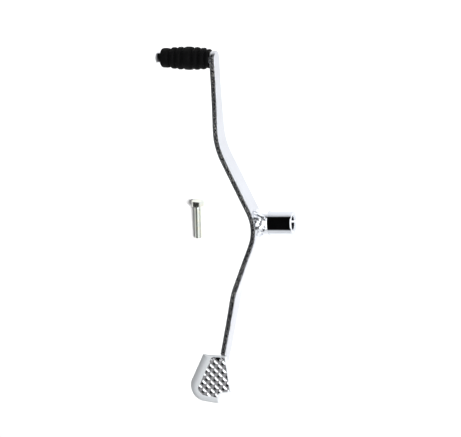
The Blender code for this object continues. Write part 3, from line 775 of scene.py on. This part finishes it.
def zinc_plate(colour):
    """Bright zinc: faint yellow-green cloud, grain along the wire and dull marks."""
    finish = Finish("zinc_plate")
    clouds = finish.noise(260, 4.0, 0.6)
    grain = finish.noise(2200, 2.0, 0.5, (1, 0.25, 1))
    tinted = finish.blend(finish.span(clouds, 0.35, 0.65), colour, (0.70, 0.69, 0.60))
    rough = finish.span(clouds, 0.3, 0.7, 0.16, 0.26)
    bumped = finish.bump(grain, 0.10, 0.0001)
    return finish.set(Base_Color=tinted, Metallic=1.0, Roughness=rough, Normal=bumped)


# ---------------------------------------------------------------- settings

def length(name, description, default):
    return FloatProperty(name=name, description=description, default=default, unit="LENGTH", precision=5)


def colour(name, description, default):
    return FloatVectorProperty(name=name, description=description, default=default, subtype="COLOR",
                               min=0, max=1)


def strength(name, description, default):
    return FloatProperty(name=name, description=description, default=default, min=0)


class BarSettings(PropertyGroup):
    thickness: length("Thickness", "Thickness of the flat bar", 0.005)
    edge: length("Edge radius", "Rounding of the bar's long edges", 0.00055)
    tint: colour("Chrome", "Colour of the chrome on the bar", (0.52, 0.535, 0.575))


class HubSettings(PropertyGroup):
    radius: length("Radius", "Outside radius of the hub", 0.0102)
    slit: length("Slit", "Width of the clamp's slit", 0.0018)
    teeth: IntProperty(name="Serrations", description="Number of serrations in the bore", default=28, min=8)
    tint: colour("Chrome", "Colour of the chrome on hub and peg", (0.58, 0.60, 0.64))
    weld_tint: colour("Weld", "Colour of the chromed weld metal", (0.72, 0.74, 0.78))


class ToeSettings(PropertyGroup):
    peg_radius: length("Peg radius", "Radius of the steel peg", 0.0066)
    rubber_start: length("Rubber start", "From the bar's middle to the rubber", 0.0031)
    tint: colour("Peg", "Colour of the chrome on the peg", (0.86, 0.87, 0.89))
    rubber: colour("Rubber", "Colour of the rubber", (0.0010, 0.0010, 0.0011))


class PadSettings(PropertyGroup):
    bead: length("Bead radius", "Radius of the weld beads under the pad", 0.0015)
    tint: colour("Border", "Colour of the satin chrome on the border", (0.53, 0.55, 0.57))
    tread: colour("Tread", "Colour of the bright chrome on the tread points", (0.78, 0.78, 0.80))


class BoltSettings(PropertyGroup):
    pitch: length("Pitch", "Pitch of the thread", 0.001)
    depth: length("Thread depth", "Depth of the thread's groove", 0.0004)
    tint: colour("Zinc", "Colour of the plating", (0.62, 0.66, 0.64))


class StudioSettings(PropertyGroup):
    floor: colour("Floor", "Colour of the floor", (0.86, 0.86, 0.86))
    horizon: strength("Horizon", "Brightness of the low white walls", 1.2)
    ceiling: strength("Ceiling", "Brightness of the dark ceiling", 0.012)
    softbox: strength("Softbox", "Brightness of the inboard softbox", 2.2)
    outboard: strength("Outboard", "Brightness of the grey outboard wall", 0.14)
    lens: FloatProperty(name="Lens", description="Focal length of the camera", default=101.4, unit="CAMERA")
    distance: length("Distance", "From the camera to the lever", 1.1)


# ---------------------------------------------------------------- pieces

def settle(piece, body, slot, *nodes):
    """Hands a finished piece to its body and hides the CAD nodes that it stands for. The material slot is not
    used.
    """
    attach(piece, body)
    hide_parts(*nodes)


class LEVER_OT_bar(Operator):
    """Bent flat bar with a round nose"""
    bl_idname = "lever.bar"
    bl_label = "Bar"

    def execute(self, context):
        values = context.scene.lever_bar
        points, faces, rim = bar_surface(values.thickness / MM, values.edge / MM)
        piece = make_piece("bar", points, faces, chrome_bar(tuple(values.tint)), 50, rim=rim)
        settle(piece, "lever", "chromed_bar", "lever_arm")
        return {"FINISHED"}


class LEVER_OT_hub(Operator):
    """Split, serrated hub with its clamp lug, and the weld round its foot"""
    bl_idname = "lever.hub"
    bl_label = "Hub"

    def execute(self, context):
        values = context.scene.lever_hub
        metal = chrome_turned("chromed_hub", tuple(values.tint))
        shell, faces, walls = hub_surface(values.radius / MM, values.slit / MM, values.teeth)
        points, all_faces = [shell.reshape(-1, 3)], [faces]
        for wall in walls:
            all_faces.append(grid_faces(*wall.shape[:2]) + sum(len(p) for p in points))
            points.append(wall.reshape(-1, 3))
        piece = make_piece("clamp", np.concatenate(points), np.concatenate(all_faces), metal, 35, weld=2e-5)
        hole, hole_faces = turned(*HOLE_PROFILE.T, (LUG_X, 0, HOLE_Z), (0, 1, 0), (0, 0, 1), 64)
        cut_away(piece, make_piece("hole", hole, hole_faces, metal))
        shade(piece.data, 35)
        settle(piece, "lever", "chromed_hub", "clamp_hub")
        lengths = [HUB_FOOT + 0.1, ROOT_END, ROOT_END, HUB_FOOT + 0.1]
        radii = np.array([HUB_RADIUS, HUB_RADIUS, 6.0, 6.0]) * values.radius / MM / HUB_RADIUS
        ring, ring_faces = ring_shell(lengths, radii)
        root = make_piece("hub_root", ring, ring_faces, metal, 35)
        settle(root, "lever", "chromed_hub", "clamp_hub")
        points, faces = weld_surface()
        weld = make_piece("hub_bead", points, faces, chrome_weld("weld_chrome", tuple(values.weld_tint)), 60)
        settle(weld, "lever", "chromed_weld", "hub_weld")
        return {"FINISHED"}


class LEVER_OT_toe(Operator):
    """Toe peg with its domed end, the weld at its foot and the ribbed rubber"""
    bl_idname = "lever.toe"
    bl_label = "Toe peg and rubber"

    def execute(self, context):
        values = context.scene.lever_toe
        out = (-cos(PEG_TILT), sin(PEG_TILT), 0)
        radius = values.peg_radius / MM
        swing = linspace(0, pi / 2, 24)
        dome = DOME_START + DOME_LENGTH * sin(swing)
        lengths = np.concatenate([[PEG_START, PEG_START, 5.5, 6.0, 6.4, 47.0], dome])
        radii = np.concatenate([[0, NECK_RADIUS, NECK_RADIUS, radius - 0.2, radius, radius],
                                radius * abs(cos(swing)) ** 0.75])
        points, faces = turned(lengths, radii, PEG_FOOT, out, (0, 0, 1), 112)
        peg = make_piece("peg", points, faces, chrome_turned("chromed_peg", tuple(values.tint)), 40)
        settle(peg, "lever", "chromed_hub", "toe_peg")
        angle = linspace(0, 2 * pi, 112, endpoint=False)[None, :]
        swell = linspace(0, pi, 22)[:, None]
        bead = NECK_RADIUS + 1.4 * sin(swell) * (1 + 0.10 * sin(14 * angle) + 0.06 * sin(5 * angle + 1))
        points, faces = turned((3.35 + 1.1 * (1 - cos(swell))).ravel(), bead, PEG_FOOT, out, (0, 0, 1), 112)
        # painted shade: the bead inside the rubber's mouth is coloured near black to stand for the shade there
        weld = make_piece("peg_bead", points, faces, chrome_weld("peg_bead_painted_shade", (0.03, 0.03, 0.03)), 60)
        settle(weld, "lever", "chromed_weld", "peg_weld")
        lengths, radii = rubber_profile(values.rubber_start / MM)
        ripple = 1 + 0.0025 * sin(3 * linspace(0, 2 * pi, 144, endpoint=False) + 0.6)[None, :]
        count = len(lengths) - 6
        wavy = radii[:, None] * np.where(np.arange(len(lengths))[:, None] < count, ripple, 1)
        lengths, wavy = np.append(lengths, lengths[0]), np.concatenate([wavy, wavy[:1]])
        points, faces = turned(lengths, wavy, PEG_FOOT, out, (0, 0, 1), 144)
        slope = np.abs(np.gradient(radii))
        # mark of the rubber's ring crowns: polish in the roughness and a painted highlight in the colour
        ridge = np.append(ease(1 - slope / 0.12) * (radii > 7.6), 0)
        rubber = make_piece("grip_rubber", points, faces, black_rubber(tuple(values.rubber)), 60,
                            ridge=np.repeat(ridge, 144))
        settle(rubber, "rubber", "black_rubber", "toe_rubber")
        return {"FINISHED"}


class LEVER_OT_pad(Operator):
    """Pressed heel pad with its rolled border and tread points, and the weld beads under it"""
    bl_idname = "lever.pad"
    bl_label = "Heel pad"

    def execute(self, context):
        values = context.scene.lever_pad
        border = chrome_pad("chromed_border", tuple(values.tint), 0.0)
        pad = make_piece("rolled_pad", *pad_surface(), border, 40)
        settle(pad, "lever", "chromed_pad", "heel_pad")
        metal = chrome_pad("chromed_tread", tuple(values.tread), 1.0)
        tread = make_piece("tread_plate", *tread_plate(), metal, 20)
        cut_away(tread, make_piece("tread_room", *tread_room(), metal), "INTERSECT")
        shade(tread.data, 20)
        settle(tread, "lever", "chromed_pad", "heel_pad")
        for name, node, side, reach in (("pad_bead_inboard", "pad_weld_inboard", 1, (3, 15)),
                                        ("pad_bead_outboard", "pad_weld_outboard", -1, (3, 23))):
            points, faces = bead_surface(side, reach, values.bead / MM)
            bead = make_piece(name, points, faces, bpy.data.materials["weld_chrome"], 60)
            settle(bead, "lever", "chromed_weld", node)
        return {"FINISHED"}


class LEVER_OT_bolt(Operator):
    """Hexagon-head pinch bolt with a rolled thread"""
    bl_idname = "lever.bolt"
    bl_label = "Pinch bolt"

    def execute(self, context):
        values = context.scene.lever_bolt
        lean = arctan2(HEAD_HALF - SHANK_RADIUS, BOLT_LENGTH)
        lengths, radii, steps = bolt_surface(values.pitch / MM, values.depth / MM)
        way = np.array([sin(BOLT_TURN), cos(BOLT_TURN)])
        axis, up = (*way * cos(lean), sin(lean)), (*way * sin(lean), -cos(lean))
        points, faces = turned(lengths, radii, BOLT_SEAT, axis, up, steps)
        bolt = make_piece("hex_bolt", points, faces, zinc_plate(tuple(values.tint)), 30)
        settle(bolt, "bolt", "zinc_plate", "pinch_bolt")
        return {"FINISHED"}


class LEVER_OT_studio(Operator):
    """Pale floor, white walls under a dark ceiling, soft lights and the camera"""
    bl_idname = "lever.studio"
    bl_label = "Studio"

    def execute(self, context):
        values = context.scene.lever_studio
        floor = self.floor(values)
        self.surroundings(context, values)
        self.lights()
        self.camera(context, values)
        context.scene.view_settings.view_transform = "Standard"
        return {"FINISHED"}

    def floor(self, values):
        mesh = bpy.data.meshes.new("floor")
        across = linspace(-3, 3, 13)
        x, y = np.meshgrid(across, across, indexing="ij")
        points = stack([x, y, 0 * x + FLOOR_LEVEL - 0.0001], -1).reshape(-1, 3)
        mesh.from_pydata(points, [], grid_faces(13, 13)[:, ::-1])
        floor = bpy.data.objects.new("floor", mesh)
        bpy.context.scene.collection.objects.link(floor)
        finish = Finish("floor")
        shade_of = finish.noise(3, 2.0)
        pale = tuple(values.floor)
        tinted = finish.blend(shade_of, pale, toned(pale, 0.99))
        mesh.materials.append(finish.set(Base_Color=tinted, Roughness=0.9, Specular_IOR_Level=0.0))
        return floor

    def surroundings(self, context, values):
        world = bpy.data.worlds.new("studio")
        context.scene.world = world
        world.use_nodes = True
        world.cycles_visibility.diffuse = False
        sky = Nodes(world.node_tree)
        look = sky.add("TexCoord").outputs["Generated"]
        x, y, z = sky.add("SeparateXYZ", look).outputs

        def step(*limits):
            return sky.add("MapRange", *limits, interpolation_type="SMOOTHSTEP").outputs["Result"]

        def product(made, *others):
            for other in others:
                made = sky.math("MULTIPLY", made, other)
            return made

        high = sky.math("ADD", z, product(y, 0.125))
        fading = product(step(high, 0.16, 0.42, 1.0, 0.30), step(x, -0.50, -0.62, 1.0, 0.32))
        walls = product(fading, step(high, 0.405, 0.43, values.horizon, values.ceiling))
        box = product(step(x, -0.12, -0.02, 0, 1), step(y, 0.72, 0.80, 1, 0), step(z, 0.12, 0.24, 0, 1),
                      step(y, -0.70, -0.56, 0.10, 1), values.softbox)
        west = product(step(x, -0.36, -0.44, 0, 1), step(x, -0.40, -0.95, values.outboard, 0.4))
        total = sky.math("MAXIMUM", sky.math("MAXIMUM", walls, west), box)
        background = sky.tree.nodes["Background"].inputs
        sky.feed(background["Strength"], total)
        sky.feed(background["Color"], (0.985, 0.99, 1.0))

    def lights(self):
        blockers = bpy.data.collections.new("shade_makers")
        blockers.objects.link(bpy.data.objects["hex_bolt"])
        for name, place, size, power in (("fill", (0.0, 0.0, 1.6), 2.4, 10.0),
                                         ("side", (1.0, 0.08, 1.3), 0.5, 50.0)):
            lamp = bpy.data.lights.new(name, "AREA")
            lamp.shape, lamp.size, lamp.energy = "SQUARE", size, power
            light = bpy.data.objects.new(name, lamp)
            bpy.context.scene.collection.objects.link(light)
            light.location = place
            light.rotation_euler = (Vector((-0.04, 0, 0)) - Vector(place)).to_track_quat("-Z", "Y").to_euler()
            light.visible_glossy = False
            light.visible_camera = False
            light.light_linking.blocker_collection = blockers

    def camera(self, context, values):
        """Looks along the direction from (0.31, 0.20, 0.93), upright to the bore's axis."""
        towards = Vector((0.31, 0.20, 0.93)).normalized()
        right = (Vector((1, 0, 0)) - towards * towards.x).normalized()
        up = towards.cross(right)
        place = ARM_PLANE + towards * values.distance - right * 0.02161 + up * 0.00375
        lens = bpy.data.cameras.new("camera")
        lens.sensor_width, lens.lens = 36, values.lens
        lens.clip_start, lens.clip_end = 0.01, 20
        eye = bpy.data.objects.new("camera", lens)
        context.scene.collection.objects.link(eye)
        eye.matrix_world = Matrix((right, up, towards)).transposed().to_4x4()
        eye.location = place
        context.scene.camera = eye


class LEVER_PT_pieces(Panel):
    """Lists the lever's pieces and their settings"""
    bl_idname = "LEVER_PT_pieces"
    bl_label = "Shift lever"
    bl_space_type = "VIEW_3D"
    bl_region_type = "UI"
    bl_category = "Shift lever"

    def draw(self, context):
        for operator, group, _ in STEPS:
            box = self.layout.box()
            box.operator(operator.bl_idname)
            settings = getattr(context.scene, group)
            for name in settings.bl_rna.properties.keys():
                if name not in {"rna_type", "name"}:
                    box.prop(settings, name)


STEPS = (
    (LEVER_OT_bar, "lever_bar", BarSettings),
    (LEVER_OT_hub, "lever_hub", HubSettings),
    (LEVER_OT_toe, "lever_toe", ToeSettings),
    (LEVER_OT_pad, "lever_pad", PadSettings),
    (LEVER_OT_bolt, "lever_bolt", BoltSettings),
    (LEVER_OT_studio, "lever_studio", StudioSettings),
)


def register():
    for operator, group, settings in STEPS:
        bpy.utils.register_class(settings)
        setattr(bpy.types.Scene, group, PointerProperty(type=settings))
        bpy.utils.register_class(operator)
    bpy.utils.register_class(LEVER_PT_pieces)


def unregister():
    bpy.utils.unregister_class(LEVER_PT_pieces)
    for operator, group, settings in reversed(STEPS):
        bpy.utils.unregister_class(operator)
        delattr(bpy.types.Scene, group)
        bpy.utils.unregister_class(settings)


def main():
    register()
    bpy.ops.lever.bar()
    bpy.ops.lever.hub()
    bpy.ops.lever.toe()
    bpy.ops.lever.pad()
    bpy.ops.lever.bolt()
    bpy.ops.lever.studio()


if __name__ == "__main__":
    main()
